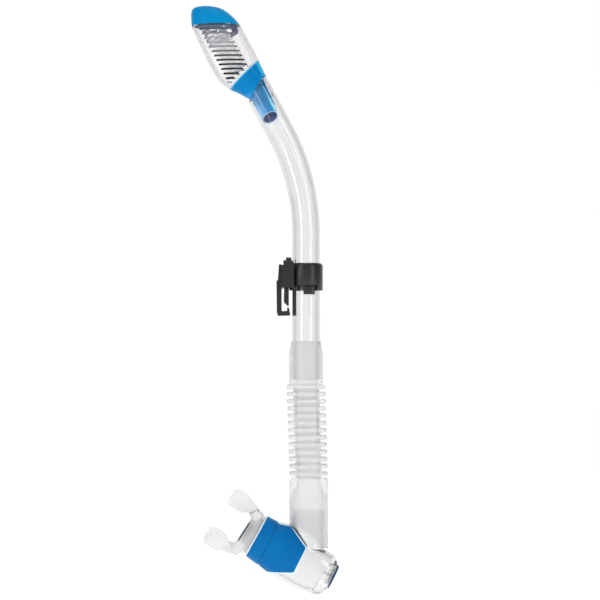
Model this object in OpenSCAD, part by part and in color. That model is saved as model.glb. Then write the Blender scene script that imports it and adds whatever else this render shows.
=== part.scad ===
// Dry-top snorkel: float-valve head, curved clear barrel, strap keeper,
// corrugated silicone hose and a mouth unit with a purge valve.
// The origin is on the barrel's axis at the keeper. +Z runs up the barrel,
// the barrel bends towards -X, and the covers' front face looks along -Y.

/* [Barrel] */
// Outer diameter of the clear barrel
barrel_d = 21; // [20:0.5:22]
// Wall thickness of the barrel
barrel_wall = 1.8; // [1.5:0.1:2]
// Height where the bend begins
bend_start = 33; // [30:1:40]
// Radius of the bend, at the barrel's axis
bend_radius = 166; // [150:1:190]
// Angle of the bend
bend_angle = 28; // [24:1:30]

/* [Head] */
// Depth of the head, front to back
head_depth = 30.6; // [29:0.2:32]
// Wall thickness of the cage and of the cap
head_wall = 1.6; // [1.2:0.1:2]
// Number of slits in each face of the cage
slit_count = 13; // [9:1:13]
// Height of one slit
slit_h = 1.6; // [1:0.1:2]

/* [Keeper] */
// Outer diameter of the keeper's collar
collar_d = 25.6; // [25.4:0.1:26]
// Height of the keeper's collar
collar_h = 20.5; // [19:0.5:22]
// Width of the strap hook, front to back
hook_w = 12; // [8:1:14]

/* [Hose] */
// Height of the hose's top edge
hose_top = -49; // [-52:1:-46]
// Number of fins on the corrugated stretch
fin_count = 13; // [10:1:14]
// Outer diameter of the fins
fin_d = 29.5; // [28:0.5:31]
// Outer diameter of the core between the fins
core_d = 19.6; // [19:0.2:21]
// Outer diameter of the lower sleeve
sleeve_d = 29.2; // [28.6:0.2:30]

/* [Mouth unit] */
// Slope of the mouth unit's axis below level
mouth_slope = 33; // [30:1:36]
// Length of the bite tabs
tab_len = 22.5; // [20:0.5:24]
// Thickness of the bite tabs
tab_t = 4; // [3:0.5:5]

/* [Hidden] */
$fn = 64;
gap = 0.05;
ring_n = 48;

barrel_r = barrel_d / 2;
bore_r = barrel_r - barrel_wall;
barrel_bottom = -78;
barrel_top = 48;
// Slope of the barrel's cut end, along the head's own X
barrel_cut = 31;
barrel_cut_w = 38.05;
joint_gap = 0.1;
joint_proud = 0.02;

// Head profile in the head's own X and Z: [left, right, half depth]
depth = head_depth / 2;
cage_rings = [
    [[-18.8, 46.9], [10.9, 56.0], depth - 1.9],
    [[-22.3, 54.5], [11.3, 60.0], depth - 0.5],
    [[-23.6, 64.0], [11.3, 66.0], depth],
    [[-23.5, 78.0], [11.3, 74.0], depth],
    [[-22.9, 91.0], [11.3, 81.0], depth],
    [[-22.1, 103.4], [11.2, 86.3], depth]
];
cap_rings = [
    [[-22.1, 103.6], [11.2, 86.5], depth],
    [[-20.9, 106.4], [10.0, 92.5], depth - 0.3],
    [[-19.3, 109.8], [7.8, 99.0], depth - 1.6],
    [[-17.6, 112.8], [4.4, 104.8], depth - 3.8],
    [[-15.8, 114.7], [-0.6, 109.4], depth - 7],
    [[-13.6, 115.3], [-5.6, 112.6], depth - 11]
];
collar_rings = [
    [[-8.9, 32.8], [10.4, 44.4], 10.2],
    [[-11.6, 37.2], [10.5, 47.6], 10.9],
    [[-15.0, 42.3], [10.7, 52.2], 12.1],
    [[-18.8, 46.7], [10.9, 55.8], depth - 1.9]
];
slit_top = 191.6;
slit_step = 3.4;
slit_start = 19.9;
slit_len = 20.2;
slit_floor = 205.8;

spigot_w = 13.6;
spigot_top = 44;
spigot_r = 6.6;
spigot_top_r = 8.1;
spigot_u = -1.6;
spigot_lean = 3;
// The spigot's lower end slants, front up
spigot_slant = 27;
spigot_nose = 4;
seal_w = 27;

// Float chamber and air channel, in the head's own frame
duct_u = 4.3;
duct_x = 7;
duct_y = 16;
duct_top = 79.8;
duct_wall = 1;
deck_slope = 17;
deck_w = 52.8;
ear_y = 6;
ear_t = 1.5;
ear_reach = 3.6;
pivot_u = 0;
pivot_w = 93.4;
pin_r = 1;
hub_r = 2.2;
arm_y = 6;
arm_t = 1.6;
float_nose_r = 1.4;
plug_nose_r = 1;
float_u = -10;
float_w = 61.5;
float_h = 24;
float_r = 9;
float_shoulder = 6.5;
plug_w = 83.4;
plug_h = 8.7;
plug_u = 5.7;

liner_r = 11.3;
liner_h = 19.2;
// The liner's tab, seen in the collar's notch
guide_r = 12.7;
guide_bottom = -13.7;
rim_h = 1.6;
rim_in = 1.1;
collar_r = collar_d / 2;
collar_in = liner_r + gap;
notch_from = -30;
notch_to = 41;
notch_h = 3.4;
hook_x = -22.5;
hook_bottom = -29.6;
gate_x = -15.5;
gate_z = -6;
gate_r = 1.9;
cheek_y = 10.6;
cheek_t = 2.2;
block_y = 9.5;
groove_t = 0.35;
groove_step = 1.8;

hose_shift = 2;
fins_top = -82;
fins_bottom = -153;
fins_len = fins_top - fins_bottom;
fins_lean = atan2(hose_shift, fins_len);
pitch = fins_len / fin_count;
fin_edge = 0.7;
hose_bore_r = 8;
sleeve_bore_r = 12.4;
sleeve_end = 21.3;
spigot_high = -177;

mouth_x = -2.5;
mouth_z = -219.1;
// Mouth unit profile in its own X and Z: [bottom, top, half depth]
housing_rings = [
    [[-36, -14.6], [-36, 14.6], 12.6],
    [[-31, -16.6], [-31, 16.4], 14.8],
    [[-20, -17.3], [-20, 17.4], 16],
    [[-4, -17.2], [-4, 18], 16.4],
    [[8, -15.9], [8, 19.2], 16.2],
    [[16, -13.7], [15, 19.4], 15],
    [[21.6, -11.5], [19.4, 17.6], 13.2],
    [[24.2, -6.2], [21.8, 14.6], 10.8]
];
cover_rings = [
    [[-34, -17.0], [-34, 17.4], 16.2],
    [[-24, -18.6], [-24, 21.0], 17.6],
    [[-3, -18.8], [-3, 20.6], 18.2]
];
cover_outline = [
    [-33.2, 16.6], [-31.4, 18.4], [-24.1, 21.2], [-5.4, 14.2],
    [-3.1, -7.1], [-20.8, -19], [-29.4, -17]
];
inlet_rings = [
    [[-46, -12.6], [-46, 12.6], 9.8],
    [[-34, -13.4], [-34, 13.4], 10.8]
];
neck_rings = [
    [[-54.4, -21], [-54.4, 17.4], 11.4],
    [[-51.4, -20.2], [-51.4, 17.2], 12],
    [[-46, -17.6], [-46, 15.6], 12],
    [[-41, -15.4], [-41, 15.2], 12.2],
    [[-36.8, -15.4], [-36.8, 15.4], 12.4]
];
mouth_hole_rings = [
    [[-56, -12], [-56, 8.4], 6],
    [[-48, -11.8], [-48, 10.6], 7.8]
];
band_rings = [
    [[-41.2, -16.9], [-43.4, 16.8], 13.8],
    [[-37.8, -17.4], [-39.6, 17.2], 14.8],
    [[-30.4, -17.9], [-34.2, 17.8], 16]
];
mouth_mid = -1.8;
tab_start = -52.5;
tab_end = tab_start - tab_len;
tab_mid = 17;

purge_p = 18;
purge_q = 5;
purge_tilt = 6.5;
purge_r = 9.3;
seat_t = 1.6;
flap_t = 0.8;
flap_r = 8.2;
stem_r = 1;
port_r = 1.9;
grille_h = 4.2;

// A superellipse ring between two points of the X-Z plane
function ring(row, grow, power) =
    let (low = row[0], high = row[1], span = norm(high - low) / 2 + grow)
    let (dir = (high - low) / norm(high - low), mid = (low + high) / 2, half = row[2] + grow)
    [for (i = [0:ring_n - 1])
        let (t = 360 * i / ring_n)
        let (c = sign(cos(t)) * pow(abs(cos(t)), power), s = sign(sin(t)) * pow(abs(sin(t)), power))
        [mid[0] + dir[0] * span * c, half * s, mid[1] + dir[1] * span * c]];

// A solid lofted through rings, which turns its faces over where the rings run along the mouth's axis
module loft(rows, grow = 0, power = 0.86, flip = false) {
    points = [for (row = rows) each ring(row, grow, power)];
    last = len(rows) - 1;
    side = [for (k = [0:last - 1], i = [0:ring_n - 1])
        let (j = (i + 1) % ring_n, a = k * ring_n, b = a + ring_n)
        each [[a + i, b + i, b + j], [a + i, b + j, a + j]]];
    start = [for (i = [0:ring_n - 1]) i];
    end = [for (i = [ring_n - 1:-1:0]) last * ring_n + i];
    faces = concat(side, [start, end]);
    polyhedron(points, flip ? [for (f = faces) [for (i = [len(f) - 1:-1:0]) f[i]]] : faces);
}

module head_frame() {
    translate([-bend_radius * (1 - cos(bend_angle)), 0, bend_start + bend_radius * sin(bend_angle)])
        rotate([0, -bend_angle, 0])
            children();
}

module mouth_frame() {
    translate([mouth_x, 0, mouth_z])
        rotate([0, mouth_slope, 0])
            children();
}

module purge_frame() {
    mouth_frame()
        translate([purge_p, 0, purge_q])
            rotate([0, 90 - purge_tilt, 0])
                children();
}

// A rod along Y, centred
module rod_y(r, length) {
    rotate([90, 0, 0])
        cylinder(h = length, r = r, center = true);
}

// An X-Z outline extruded along Y, centred
module slab_y(outline, width) {
    rotate([90, 0, 0])
        linear_extrude(height = width, center = true)
            polygon(outline);
}

module rounded_rect(x, y, r) {
    square([x - 2 * r, y], center = true);
    square([x, y - 2 * r], center = true);
    for (i = [-1, 1], j = [-1, 1])
        translate([i * (x / 2 - r), j * (y / 2 - r)])
            circle(r);
}

// ---- Barrel ----

// A straight length of tube
module pipe(z, h, r_out, r_in) {
    translate([0, 0, z])
        difference() {
            cylinder(h = h, r = r_out);
            translate([0, 0, -1])
                cylinder(h = h + 2, r = r_in);
        }
}

// A faint moulded line that joins two lengths of the barrel
module joint_line() {
    pipe(-joint_gap - 0.4, 2 * joint_gap + 0.8, barrel_r + joint_proud, bore_r - joint_proud);
}

module bend() {
    skip = joint_gap * 180 / (PI * bend_radius);
    translate([-bend_radius, 0, bend_start])
        rotate([0, -skip, 0])
            rotate([90, 0, 0])
                rotate_extrude(angle = bend_angle - 2 * skip, $fn = 200)
                    translate([bend_radius, 0])
                        difference() {
                            circle(barrel_r);
                            circle(bore_r);
                        }
}

module barrel() {
    color("whitesmoke", 0.4) {
        pipe(barrel_bottom, bend_start - joint_gap - barrel_bottom, barrel_r, bore_r);
        translate([0, 0, bend_start])
            joint_line();
        bend();
        head_frame() {
            joint_line();
            difference() {
                pipe(joint_gap, barrel_top - joint_gap, barrel_r, bore_r);
                translate([0, 0, barrel_cut_w])
                    rotate([0, -barrel_cut, 0])
                        translate([-30, -30, 0])
                            cube([60, 60, 40]);
            }
        }
    }
}

// ---- Head ----

// Level slits whose left ends follow the head and whose right ends stop short of the collar
module slits() {
    for (k = [0:slit_count - 1]) {
        z = slit_top - k * slit_step;
        left = slit_start - z * tan(bend_angle);
        right = min(left + slit_len, z - slit_floor);
        translate([left, -30, z - slit_h / 2])
            cube([right - left, 60, slit_h]);
        for (x = [left, right])
            translate([x, 0, z])
                rod_y(slit_h / 2, 60);
    }
}

module float_cage() {
    color("white", 0.4)
        difference() {
            head_frame()
                difference() {
                    loft(cage_rings);
                    loft([
                        [[-18.9, 46.7], [11.0, 55.8], depth - 1.9],
                        each [for (k = [1:4]) cage_rings[k]],
                        [[-22.0, 103.8], [11.1, 86.7], depth]
                    ], -head_wall);
                }
            slits();
        }
}

module head_cap() {
    color("deepskyblue")
        head_frame()
            difference() {
                loft(cap_rings);
                loft([
                    [[-22.2, 103.5], [11.3, 86.3], depth],
                    each [for (k = [1:4]) cap_rings[k]]
                ], -head_wall);
            }
}

// The spigot's cone, moved out by grow
module spigot_cone(grow, extra) {
    taper = (spigot_top_r - spigot_r) / (spigot_top - spigot_w);
    translate([spigot_u, 0, spigot_w])
        rotate([0, spigot_lean, 0])
            translate([0, 0, -spigot_nose])
                cylinder(
                    h = spigot_top - spigot_w + spigot_nose + extra,
                    r1 = spigot_r - taper * spigot_nose + grow,
                    r2 = spigot_top_r + taper * extra + grow
                );
}

// Everything below the spigot's slanted end
module spigot_trim() {
    translate([0, 0, spigot_w])
        rotate([-spigot_slant, 0, 0])
            translate([-20, -20, -40])
                cube([40, 40, 40]);
}

module head_collar() {
    color("dodgerblue")
        head_frame()
            difference() {
                union() {
                    difference() {
                        loft(collar_rings);
                        loft([
                            [[-10.0, 36.2], [10.2, 47.6], 9.6],
                            [[-15.2, 42.6], [10.7, 52.4], 12.1],
                            [[-18.8, 46.9], [10.9, 56.0], depth - 1.9]
                        ], -1.5);
                    }
                    spigot_cone(0, 0);
                }
                spigot_cone(-1.2, 8);
                spigot_trim();
            }
}

module spigot_seal() {
    color("gainsboro", 0.6)
        head_frame()
            difference() {
                translate([0, 0, seal_w])
                    cylinder(h = 2.4, r = bore_r - 0.02);
                spigot_cone(0.02, 0);
            }
}

// A row part of the way between two rows of the cage
function between(a, b, part) = [
    a[0] + (b[0] - a[0]) * part, a[1] + (b[1] - a[1]) * part, a[2] + (b[2] - a[2]) * part
];

// An ear that holds one end of the rocker's pin
module ear(side) {
    translate([-duct_x / 2 - ear_reach, side * (ear_y + ear_t / 2) - ear_t / 2, 0]) {
        translate([0, 0, duct_top - 8])
            cube([ear_reach + 0.5, ear_t, 8]);
        translate([0, 0, duct_top - 1])
            cube([ear_reach - 0.3, ear_t, pivot_w - duct_top + 1]);
    }
    translate([pivot_u - duct_u, side * (ear_y + ear_t / 2), pivot_w])
        rod_y(hub_r, ear_t);
}

// The float chamber's deck, the channel that carries air through it and the rocker's ears
module air_duct() {
    color("white", 0.5)
        head_frame()
            difference() {
                union() {
                    loft([
                        between(cage_rings[0], cage_rings[1], 0.03),
                        between(cage_rings[0], cage_rings[1], 0.22)
                    ], -head_wall - gap);
                    translate([duct_u, 0, deck_w])
                        linear_extrude(height = duct_top - deck_w)
                            rounded_rect(duct_x, duct_y, 3);
                    translate([duct_u, 0, 0])
                        for (side = [-1, 1])
                            ear(side);
                }
                translate([duct_u, 0, deck_w - 5])
                    linear_extrude(height = duct_top - deck_w + 6)
                        rounded_rect(duct_x - 2 * duct_wall, duct_y - 2 * duct_wall, 2.2);
                translate([0, 0, deck_w])
                    rotate([0, -deck_slope, 0])
                        translate([-2, -20, -20])
                            cube([40, 40, 20]);
                translate([pivot_u, 0, pivot_w])
                    rod_y(pin_r + gap, 30);
            }
}

module rocker_pin() {
    color("silver")
        head_frame()
            translate([pivot_u, 0, pivot_w])
                rod_y(pin_r, 2 * (ear_y + ear_t) + 1);
}

// An arm from the hub to a round nose
module rocker_arm(x, z, nose_r) {
    rotate([0, -atan2(z, x), 0])
        translate([0, -arm_y / 2, -arm_t / 2])
            cube([norm([x, z]), arm_y, arm_t]);
    translate([x, 0, z])
        rod_y(nose_r, arm_y);
}

module rocker() {
    color("white")
        head_frame()
            translate([pivot_u, 0, pivot_w])
                difference() {
                    union() {
                        rod_y(hub_r, 2 * ear_y - 0.8);
                        rocker_arm(-12.4, -5.9, float_nose_r);
                        rocker_arm(6, 0.9, plug_nose_r);
                    }
                    rod_y(pin_r + gap, 30);
                }
}

module float() {
    color("white")
        head_frame()
            translate([float_u, 0, float_w]) {
                cylinder(h = float_h - 5, r = float_r);
                translate([0, 0, float_h - 5])
                    cylinder(h = 5, r1 = float_r, r2 = float_r - float_shoulder);
                translate([0, 0, -2])
                    cylinder(h = 2, r1 = float_r - 3, r2 = float_r);
            }
}

module valve_plug() {
    color("midnightblue")
        head_frame()
            translate([0, 0, plug_w]) {
                translate([plug_u, 0, 0])
                    linear_extrude(height = plug_h)
                        rounded_rect(4, 11, 1);
                translate([duct_u, 0, 0])
                    linear_extrude(height = 1)
                        rounded_rect(duct_x - 0.2, duct_y - 0.6, 2);
            }
}

// ---- Keeper ----

// An annular block between two angles, measured from the front towards +X
module arc_block(r_in, r_out, from, to, z, h) {
    translate([0, 0, z])
        rotate([0, 0, from - 90])
            rotate_extrude(angle = to - from, $fn = 96)
                translate([r_in, 0])
                    square([r_out - r_in, h]);
}

module keeper_liner() {
    color("dimgray")
        difference() {
            union() {
                translate([0, 0, -liner_h / 2])
                    cylinder(h = liner_h, r = liner_r);
                arc_block(liner_r - 0.5, guide_r, -9, 31.5, guide_bottom, 6);
            }
            translate([0, 0, -20])
                cylinder(h = 40, r = barrel_r + 0.03);
        }
}

// The collar, the web that carries the clip and the guard beside the strap
module keeper_collar() {
    color("#2b2b2b")
        difference() {
            union() {
                translate([0, 0, -collar_h / 2])
                    cylinder(h = collar_h - rim_h, r = collar_r);
                translate([0, 0, collar_h / 2 - rim_h])
                    cylinder(h = rim_h, r1 = collar_r, r2 = collar_r - rim_in);
                translate([-13, -7, -8.5])
                    cube([3, 14, 17]);
                arc_block(collar_in + 0.1, collar_r - 0.15, -55, -40, hook_bottom, 21);
            }
            translate([0, 0, -collar_h])
                cylinder(h = 2 * collar_h, r = collar_in);
            arc_block(collar_in - 2, collar_r + 2, notch_from, notch_to, -collar_h / 2 - 1, notch_h + 1);
        }
}

// The strap hook, its block and the two rests under the thumb pieces
module clip_frame() {
    hook = [
        [-20.6, 9.4], [-18.6, 9.4], [-18.6, -24.9], [-18.2, -26.2], [-14.4, -26], [-14.4, -23.6],
        [-13, -23.6], [-12, -28.6], [-12.6, -29.4], [-21.4, hook_bottom], [-22.2, -27],
        [hook_x, -3.4], [-21.4, -2.4]
    ];
    color("#303030")
        difference() {
            union() {
                slab_y(hook, hook_w);
                translate([-20.6, -block_y, -8.3])
                    cube([7.4, 2 * block_y, 16.8]);
                for (side = [-1, 1])
                    translate([-18.6, side * 11.05 - 1.75, -8.3])
                        cube([9.6, 3.5, 6.8]);
            }
            translate([gate_x, 0, gate_z])
                rod_y(gate_r + gap, 8.4);
            translate([-18.3, -4.2, -9])
                cube([5.6, 8.4, 3]);
        }
}

module clip_gate() {
    prong = [[1.2, -1], [2.4, -3], [2.4, -15], [1.9, -16.5], [-1.4, -13.2], [-1.2, -3], [-1.2, -1]];
    color("#3a3a3a")
        translate([gate_x, 0, gate_z]) {
            rod_y(gate_r, 8);
            slab_y(prong, 8);
        }
}

module thumb_outline() {
    polygon([
        [-18.4, -1.2], [-18.4, 8.6], [-17.2, 8.6], [-17.2, 12.2], [-15.2, 12.2], [-15.2, 14.2],
        [-11.2, 14.2], [-11.2, 12.4], [-9.2, 10.4], [-9.2, -1.2]
    ]);
}

// A thumb piece with grip grooves across its face
module thumb(side) {
    color("#353535")
        difference() {
            translate([0, side * (cheek_y + cheek_t / 2) + cheek_t / 2, 0])
                rotate([90, 0, 0])
                    linear_extrude(height = cheek_t)
                        thumb_outline();
            for (k = [0:6])
                translate([-20, side * (cheek_y + cheek_t) - groove_t, 0.6 + groove_step * k])
                    cube([12, 2 * groove_t, 0.8]);
        }
}

module button_front() {
    thumb(-1);
}

module button_back() {
    thumb(1);
}

// ---- Hose ----

// The corrugated stretch, leaning from the barrel's axis to the lower sleeve's
module fins() {
    r_out = fin_d / 2;
    r_in = core_d / 2;
    land = pitch * 0.6;
    outline = [
        [0, 1], [r_in, 1], [r_in, 0],
        for (k = [0:fin_count - 1]) each [
            [r_in, -k * pitch],
            [r_out - fin_edge, -k * pitch],
            [r_out, -k * pitch - fin_edge],
            [r_out, -k * pitch - land + fin_edge],
            [r_out - fin_edge, -k * pitch - land],
            [r_in, -k * pitch - land]
        ],
        [r_in, -fins_len - 1], [0, -fins_len - 1]
    ];
    translate([0, 0, fins_top])
        rotate([0, -fins_lean, 0])
            rotate_extrude()
                polygon(outline);
}

module hose() {
    color("white", 0.5)
        difference() {
            union() {
                translate([0, 0, hose_top - 8])
                    cylinder(h = 8, r1 = 12.7, r2 = 11.2);
                translate([0, 0, fins_top])
                    cylinder(h = hose_top - 8 - fins_top, r = 12.7);
                fins();
                translate([hose_shift, 0, -215])
                    cylinder(h = fins_bottom + 215, r = sleeve_d / 2);
            }
            translate([0, 0, barrel_bottom - 1])
                cylinder(h = 60, r = barrel_r + 0.03);
            translate([0, 0, fins_top + 6])
                rotate([0, -fins_lean, 0])
                    translate([0, 0, -fins_len - 10])
                        cylinder(h = fins_len + 10, r = hose_bore_r);
            translate([hose_shift, 0, -170])
                cylinder(h = 12, r1 = sleeve_bore_r, r2 = hose_bore_r);
            translate([hose_shift, 0, -230])
                cylinder(h = 60.01, r = sleeve_bore_r);
            mouth_frame()
                translate([-60, -30, sleeve_end - 60])
                    cube([120, 60, 60]);
        }
}

// ---- Mouth unit ----

module purge_housing() {
    color("white", 0.4)
        difference() {
            union() {
                mouth_frame() {
                    loft(housing_rings, flip = true);
                    loft(inlet_rings, flip = true);
                }
                translate([hose_shift, 0, -212])
                    cylinder(h = spigot_high + 212, r = sleeve_bore_r - gap);
            }
            mouth_frame() {
                loft([for (k = [0:5]) housing_rings[k]], -1.8, flip = true);
                loft([
                    [[-48, -12.5], [-48, 12.5], 9.7],
                    [[-33, -13.4], [-33, 13.4], 10.8]
                ], -1.6, flip = true);
            }
            translate([hose_shift, 0, -214])
                cylinder(h = 60, r = sleeve_bore_r - 1.8);
            purge_frame()
                translate([0, 0, -6])
                    cylinder(h = 30, r = purge_r - 1.6);
            purge_frame()
                cylinder(h = 30, r = purge_r + gap);
        }
}

// The room that a cover leaves round the housing's upright spigot
module spigot_room() {
    rotate([0, -mouth_slope, 0])
        translate([hose_shift - mouth_x, 0, -20])
            cylinder(h = 60, r = sleeve_bore_r + gap);
}

// One of the two plates that close on the housing
module cover(side) {
    color("dodgerblue")
        mouth_frame()
            difference() {
                intersection() {
                    loft(cover_rings, flip = true);
                    translate([0, side * 15, 0])
                        slab_y(cover_outline, 26);
                }
                loft(housing_rings, 0.1, flip = true);
                spigot_room();
            }
}

module front_cover() {
    cover(-1);
}

module back_cover() {
    cover(1);
}

module mouth_band() {
    color("dodgerblue")
        mouth_frame()
            difference() {
                loft(band_rings, flip = true);
                loft([
                    for (k = [2:4]) neck_rings[k],
                    [[-35, -15.4], [-35, 15.4], 12.4]
                ], gap, flip = true);
                loft([for (k = [0:2]) housing_rings[k]], 0.1, flip = true);
            }
}

// A bite tab's outline: a root, a round shoulder and a paddle
module tab_outline() {
    translate([tab_end + 10, tab_mid - 4.4])
        square([tab_start - tab_end - 9, 6.6]);
    translate([tab_end + 10.9, tab_mid])
        circle(7.4);
    translate([tab_end + 6.7, tab_mid])
        rounded_rect(13.4, 14.8, 5);
}

module mouthpiece() {
    color("white", 0.5)
        mouth_frame() {
            difference() {
                loft(neck_rings, flip = true);
                loft(mouth_hole_rings, flip = true);
                loft(inlet_rings, gap, flip = true);
            }
            translate([0, 0, mouth_mid])
                for (side = [0, 1])
                    mirror([0, 0, side])
                        rotate([90, 0, 0])
                            linear_extrude(height = tab_t, center = true)
                                tab_outline();
        }
}

module purge_seat() {
    color("white", 0.6)
        purge_frame()
            difference() {
                cylinder(h = seat_t, r = purge_r);
                translate([0, 0, -1])
                    cylinder(h = 4, r = stem_r + 0.1);
                for (a = [0:60:300])
                    rotate([0, 0, a])
                        translate([4.8, 0, -1])
                            cylinder(h = 4, r = port_r);
            }
}

module purge_diaphragm() {
    color("gainsboro", 0.7)
        purge_frame() {
            translate([0, 0, seat_t + gap])
                cylinder(h = flap_t, r = flap_r);
            translate([0, 0, -2.6])
                cylinder(h = seat_t + 3, r = stem_r);
            translate([0, 0, -2.6])
                cylinder(h = 0.9, r1 = stem_r, r2 = stem_r + 0.5);
        }
}

module purge_cover() {
    color("steelblue")
        purge_frame()
            translate([0, 0, grille_h])
                difference() {
                    cylinder(h = 2.2, r = purge_r);
                    for (k = [-2:2])
                        translate([-5.6, 2.6 * k - 0.6, -1])
                            cube([11.2, 1.2, 5]);
                }
}

barrel();
float_cage();
head_cap();
head_collar();
spigot_seal();
air_duct();
rocker_pin();
rocker();
float();
valve_plug();
keeper_liner();
keeper_collar();
clip_frame();
clip_gate();
button_front();
button_back();
hose();
purge_housing();
front_cover();
back_cover();
mouth_band();
mouthpiece();
purge_seat();
purge_diaphragm();
purge_cover();
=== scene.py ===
"""Dry-top snorkel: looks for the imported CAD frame."""
import math

import bmesh
import bpy
from mathutils import Matrix, Vector

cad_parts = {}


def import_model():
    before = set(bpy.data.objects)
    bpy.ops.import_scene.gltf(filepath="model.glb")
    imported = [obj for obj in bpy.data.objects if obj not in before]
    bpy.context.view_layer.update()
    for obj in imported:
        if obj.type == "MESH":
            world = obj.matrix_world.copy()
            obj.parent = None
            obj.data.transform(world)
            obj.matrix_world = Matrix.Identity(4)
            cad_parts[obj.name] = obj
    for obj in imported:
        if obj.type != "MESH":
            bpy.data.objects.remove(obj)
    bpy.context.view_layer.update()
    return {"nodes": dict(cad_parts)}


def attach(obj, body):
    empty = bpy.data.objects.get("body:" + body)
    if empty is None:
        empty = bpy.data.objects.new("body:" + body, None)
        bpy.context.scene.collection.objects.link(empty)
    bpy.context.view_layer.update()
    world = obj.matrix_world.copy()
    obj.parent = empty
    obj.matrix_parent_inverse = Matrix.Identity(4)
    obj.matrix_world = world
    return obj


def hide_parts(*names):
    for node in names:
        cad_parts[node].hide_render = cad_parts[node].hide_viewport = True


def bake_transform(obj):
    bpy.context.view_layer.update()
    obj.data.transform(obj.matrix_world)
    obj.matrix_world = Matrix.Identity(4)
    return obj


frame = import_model()
nodes = frame["nodes"]
MM = 0.001

# ---- Sizes, in millimetres; nearly all are the CAD model's own ----

# Barrel and head
BARREL_R = 10.5
BORE_R = 8.7
BARREL_BOTTOM = -78
BEND_START = 33
BEND_RADIUS = 166
BEND_ANGLE = math.radians(28)
CUT_W = 38.05
CUT_SLOPE = math.radians(31)
HEAD_WALL = 1.6
FUNNEL_WALL = 1.5
DEPTH = 15.3

# Slits of the cage, level in the world
SLIT_COUNT = 13
SLIT_TOP = 191.6
SLIT_PITCH = 3.4
SLIT_START = 19.9
SLIT_LENGTH = 20.2
SLIT_FLOOR = 205.8
SLIT_HALF = 0.68
SLIT_DEPTH = 1.25

# Spigot in the barrel
SPIGOT_X = -1.6
SPIGOT_TOP = 44
SPIGOT_END = 13.6
SPIGOT_TOP_R = 8.1
SPIGOT_END_R = 6.6
SPIGOT_WALL = 1.2
SPIGOT_TILT = math.radians(3)
SPIGOT_SLANT = math.radians(27)

# Hose
HOSE_X = 2
HOSE_BORE_R = 8
CORE_R = 9.8
FIN_R = 14.7
UPPER_SLEEVE_R = 12.7
LOWER_SLEEVE_R = 14.6
LOWER_BORE_R = 12.4
SLEEVE_END = 21.3
FINS_TOP = -82
FINS_BOTTOM = -153
FIN_COUNT = 13

# Mouth unit
MOUTH_SLOPE = math.radians(33)
MOUTH_MID = -1.8
HOUSING_WALL = 1.8
HOSE_SPIGOT_R = 12.34
HOSE_SPIGOT_BORE_R = 10.6
PURGE_R = 9.35
PORT_R = 7.7

# In the looks alone
GROOVE_DEPTH = 0.16
RIM_W = 0.75
FLOOR_Z = -420

# The frames of the head, the mouth unit and the purge valve
HEAD = Matrix.Translation((
    -BEND_RADIUS * (1 - math.cos(BEND_ANGLE)), 0, BEND_START + BEND_RADIUS * math.sin(BEND_ANGLE)
)) @ Matrix.Rotation(-BEND_ANGLE, 4, "Y")
MOUTH = Matrix.Translation((-2.5, 0, -219.1)) @ Matrix.Rotation(MOUTH_SLOPE, 4, "Y")
PURGE = MOUTH @ Matrix.Translation((18, 0, 5)) @ Matrix.Rotation(math.radians(83.5), 4, "Y")

# Profiles in the head's or the mouth's own X and Z: [one side, other side, half depth]
CAGE = [
    [(-18.8, 46.9), (10.9, 56.0), DEPTH - 1.9],
    [(-22.3, 54.5), (11.3, 60.0), DEPTH - 0.5],
    [(-23.6, 64.0), (11.3, 66.0), DEPTH],
    [(-23.5, 78.0), (11.3, 74.0), DEPTH],
    [(-22.9, 91.0), (11.3, 81.0), DEPTH],
    [(-22.1, 103.4), (11.2, 86.3), DEPTH],
]
CAP = [
    [(-22.1, 103.6), (11.2, 86.5), DEPTH],
    [(-20.9, 106.4), (10.0, 92.5), DEPTH - 0.3],
    [(-19.3, 109.8), (7.8, 99.0), DEPTH - 1.6],
    [(-17.6, 112.8), (4.4, 104.8), DEPTH - 3.8],
    [(-15.8, 114.7), (-0.6, 109.4), DEPTH - 7],
    [(-13.6, 115.3), (-5.6, 112.6), DEPTH - 11],
    [(-10.9, 114.6), (-9.7, 114.2), 0.6],
]
COLLAR = [
    [(-8.9, 32.8), (10.4, 44.4), 10.2],
    [(-11.6, 37.2), (10.5, 47.6), 10.9],
    [(-15.0, 42.3), (10.7, 52.2), 12.1],
    [(-18.8, 46.7), (10.9, 55.8), DEPTH - 1.9],
]
FUNNEL_INSIDE = [
    [(-10.0, 36.2), (10.2, 47.6), 9.6],
    [(-15.2, 42.6), (10.7, 52.4), 12.1],
    [(-18.8, 46.9), (10.9, 56.0), DEPTH - 1.9],
]
HOUSING_FOOT = [(-36, -14.6), (-36, 14.6), 12.6]
HOUSING = [
    [(-31, -16.6), (-31, 16.4), 14.8],
    [(-20, -17.3), (-20, 17.4), 16],
    [(-4, -17.2), (-4, 18), 16.4],
    [(8, -15.9), (8, 19.2), 16.2],
    [(16, -13.7), (15, 19.4), 15],
    [(21.6, -11.5), (19.4, 17.6), 13.2],
    [(24.2, -6.2), (21.8, 14.6), 10.8],
]
COVER_OUTLINE = [
    (-33.2, 16.6), (-31.4, 18.4), (-24.1, 21.2), (-5.4, 14.2), (-3.1, -7.1), (-20.8, -19), (-29.4, -17)]
COVER = [
    [(-34, -17.0), (-34, 17.4), 16.2],
    [(-24, -18.6), (-24, 21.0), 17.6],
    [(-3, -18.8), (-3, 20.6), 18.2],
]
BAND = [
    [(-41.2, -16.9), (-43.4, 16.8), 13.8],
    [(-37.8, -17.4), (-39.6, 17.2), 14.8],
    [(-29.2, -17.9), (-33.4, 17.8), 16],
]
BAND_EDGE = [(-40.2, -20.0), (-42.9, 20.0)]
SEAM = [(-33.78, 20.0), (-29.26, -20.0)]
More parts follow.
